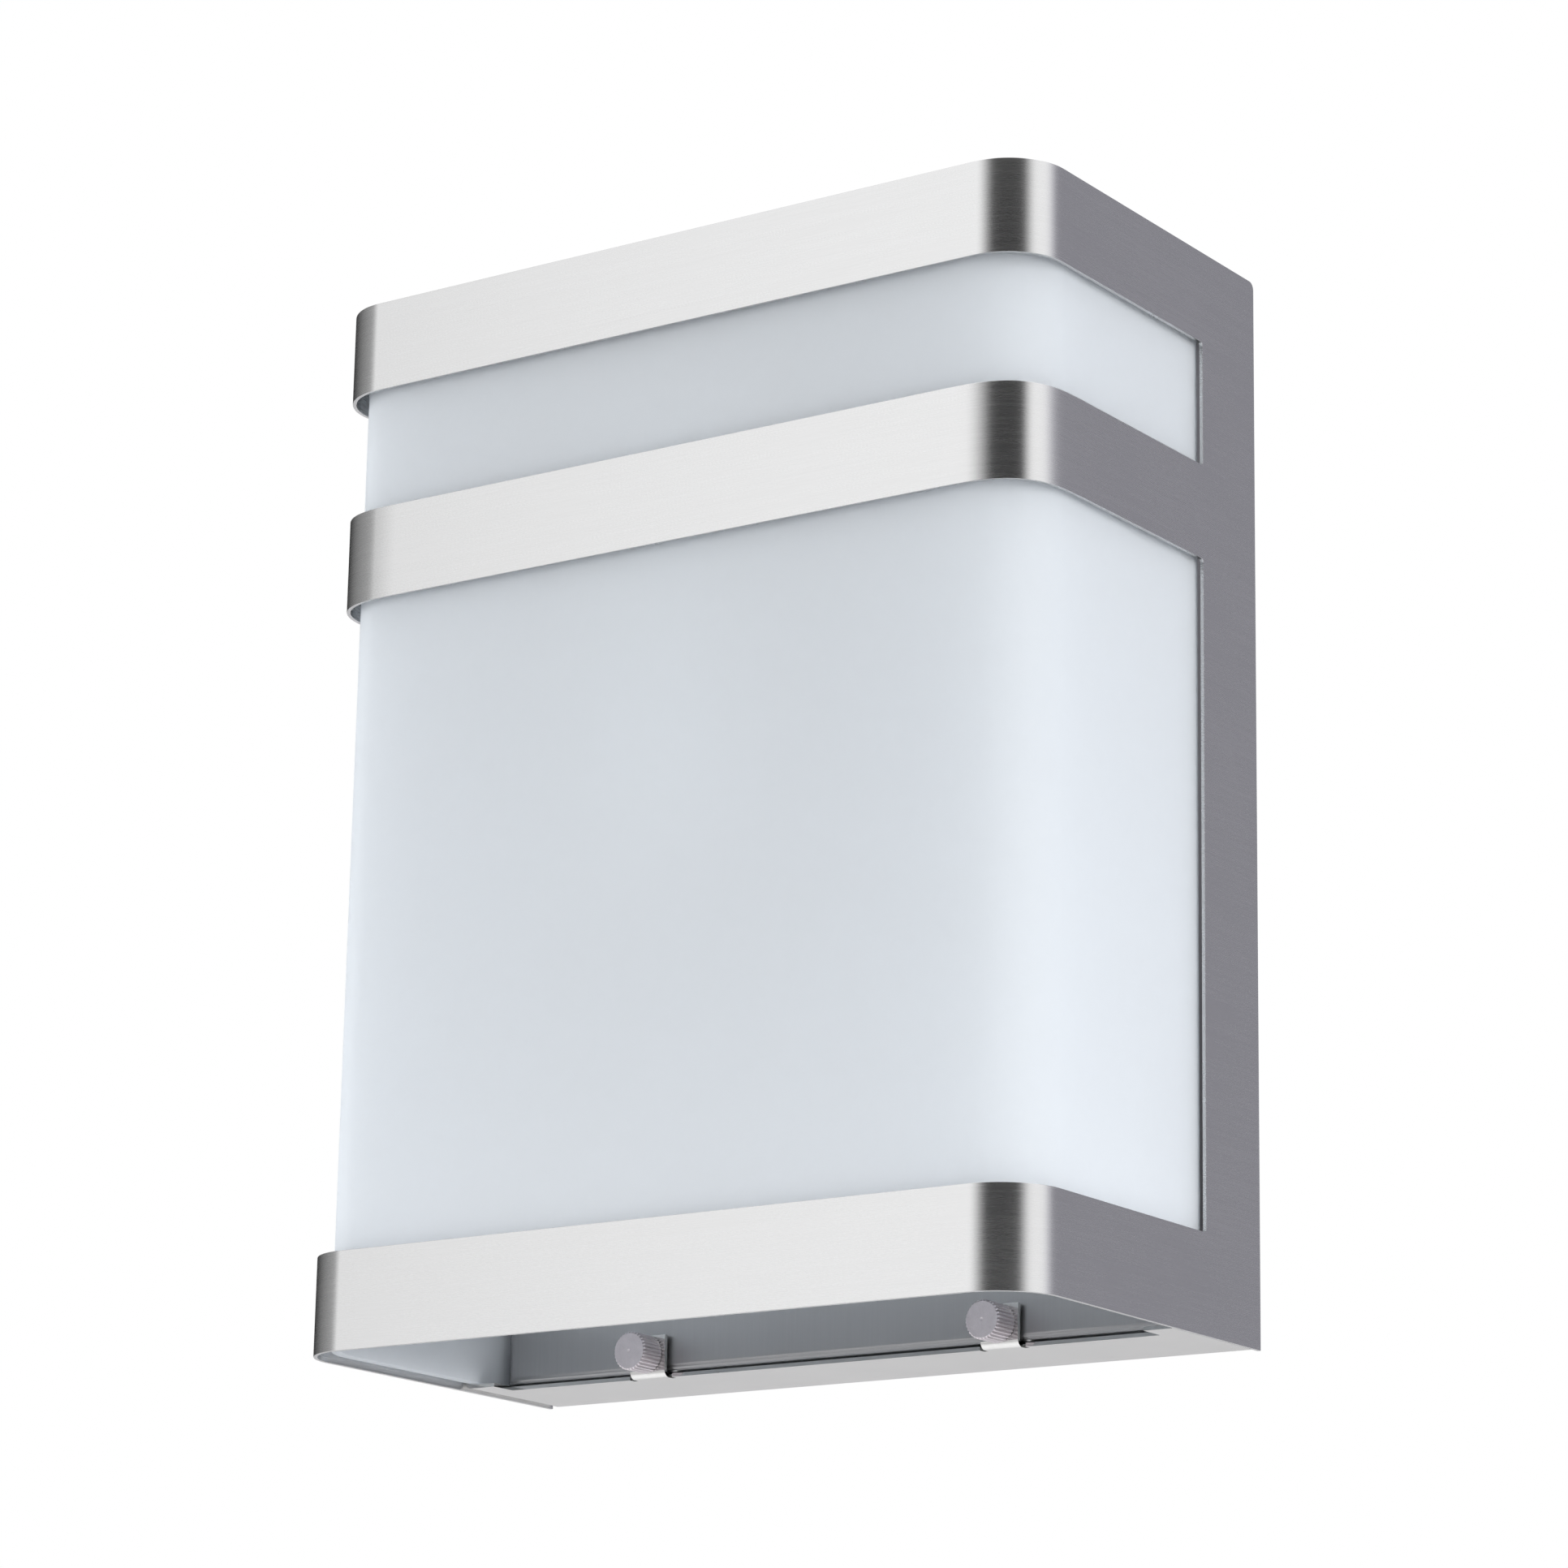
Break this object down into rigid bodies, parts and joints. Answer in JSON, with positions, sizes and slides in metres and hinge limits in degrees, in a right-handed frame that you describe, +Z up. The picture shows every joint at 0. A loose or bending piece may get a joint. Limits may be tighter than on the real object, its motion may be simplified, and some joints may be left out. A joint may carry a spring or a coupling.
{
  "type": "outdoor wall lantern",
  "caption": "Brushed steel box lantern for an outside wall, with an opal diffuser, an open bottom and a shade that pulls off once its thumbscrews are undone.",
  "frame": {"origin": "centre of the outlet box behind the lantern, on the wall's face, 140 mm above the shade's bottom edge", "axes": "+X to the right seen from the front, +Y into the wall, +Z up"},
  "size_m": [0.22, 0.11, 0.28],
  "materials": {
    "brushed_stainless": "brushed stainless steel",
    "bright_stainless": "smooth cold-rolled stainless steel",
    "pan_steel": "brushed stainless steel, dark in the shade's shadow",
    "zinc_steel": "zinc plated steel",
    "knob_steel": "turned and knurled stainless steel",
    "thread_steel": "rolled stainless steel thread",
    "brass": "plain brass",
    "nickel_brass": "nickel plated brass",
    "opal_acrylic": "opal white acrylic",
    "opal_globe": "satin opal polycarbonate",
    "white_plastic": "moulded white plastic",
    "nylon": "natural nylon",
    "porcelain": "glazed porcelain",
    "black_glass": "black lamp base glass",
    "led_board": "white aluminium circuit board with yellow chips",
    "black_rubber": "moulded rubber",
    "foam": "closed-cell foam",
    "silicone": "clear silicone",
    "black_insulation": "black wire insulation",
    "white_insulation": "white wire insulation",
    "green_insulation": "green wire insulation",
    "green_steel": "green passivated steel"
  },
  "bodies": {
    "root": {"mounting_pan": "pan_steel", "wall_seal": "foam", "crossbar": "zinc_steel", "fixture_screws": "zinc_steel", "lock_nuts": "zinc_steel", "sealing_washers": "black_rubber", "cap_nuts": "nickel_brass", "rivet_nuts": "zinc_steel", "lamp_bracket": "zinc_steel", "bracket_rivets": "bright_stainless", "lamp_holder": "porcelain", "holder_screws": "zinc_steel", "holder_screw_shell": "brass", "holder_contact": "brass", "holder_terminals": "brass", "lead_grommet": "black_rubber", "live_lead": "black_insulation", "neutral_lead": "white_insulation", "earth_lead": "green_insulation", "earth_ring": "nickel_brass", "earth_screw": "green_steel", "terminal_block": "nylon", "terminal_screws": "zinc_steel", "block_screws": "zinc_steel"},
    "shade": {"shade_shell": "brushed_stainless", "top_plate": "brushed_stainless", "bottom_flange": "bright_stainless", "hanger_bracket": "bright_stainless", "diffuser": "opal_acrylic", "diffuser_clips": "bright_stainless", "clip_studs": "thread_steel", "clip_nuts": "zinc_steel", "diffuser_pads": "silicone"},
    "left_screw_travel": {"left_stud": "thread_steel"},
    "left_screw_turn": {"left_knob": "knob_steel"},
    "right_screw_travel": {"right_stud": "thread_steel"},
    "right_screw_turn": {"right_knob": "knob_steel"},
    "lamp_travel": {"lamp_tip": "nickel_brass"},
    "lamp_turn": {"lamp_insulator": "black_glass", "lamp_screw_base": "nickel_brass", "lamp_collar": "white_plastic", "lamp_led_board": "led_board", "lamp_globe": "opal_globe"}
  },
  "joints": [
    {"name": "shade_pull", "type": "slide", "parent": "root", "child": "shade", "axis": [0, -1, 0], "range_m": [0, 0.12]},
    {"name": "left_screw_slide", "type": "slide", "parent": "shade", "child": "left_screw_travel", "axis": [0, -1, 0], "range_m": [0, 0.007]},
    {"name": "left_screw_spin", "type": "hinge", "parent": "left_screw_travel", "child": "left_screw_turn", "pos_m": [-0.054, -0.036, -0.1335], "axis": [0, -1, 0], "range_deg": [0, 3620]},
    {"name": "right_screw_slide", "type": "slide", "parent": "shade", "child": "right_screw_travel", "axis": [0, -1, 0], "range_m": [0, 0.007]},
    {"name": "right_screw_spin", "type": "hinge", "parent": "right_screw_travel", "child": "right_screw_turn", "pos_m": [0.054, -0.036, -0.1335], "axis": [0, -1, 0], "range_deg": [0, 3620]},
    {"name": "lamp_slide", "type": "slide", "parent": "root", "child": "lamp_travel", "axis": [0, 0, -1], "range_m": [0, 0.0146]},
    {"name": "lamp_spin", "type": "hinge", "parent": "lamp_travel", "child": "lamp_turn", "pos_m": [0, -0.0675, 0.03], "axis": [0, 0, -1], "range_deg": [0, 1440]}
  ],
  "couplings": [
    {"joint": "left_screw_spin", "follows": "left_screw_slide", "rad_per_m": 8976},
    {"joint": "right_screw_spin", "follows": "right_screw_slide", "rad_per_m": 8976},
    {"joint": "lamp_slide", "follows": "lamp_spin", "m_per_rad": 0.00057757}
  ]
}
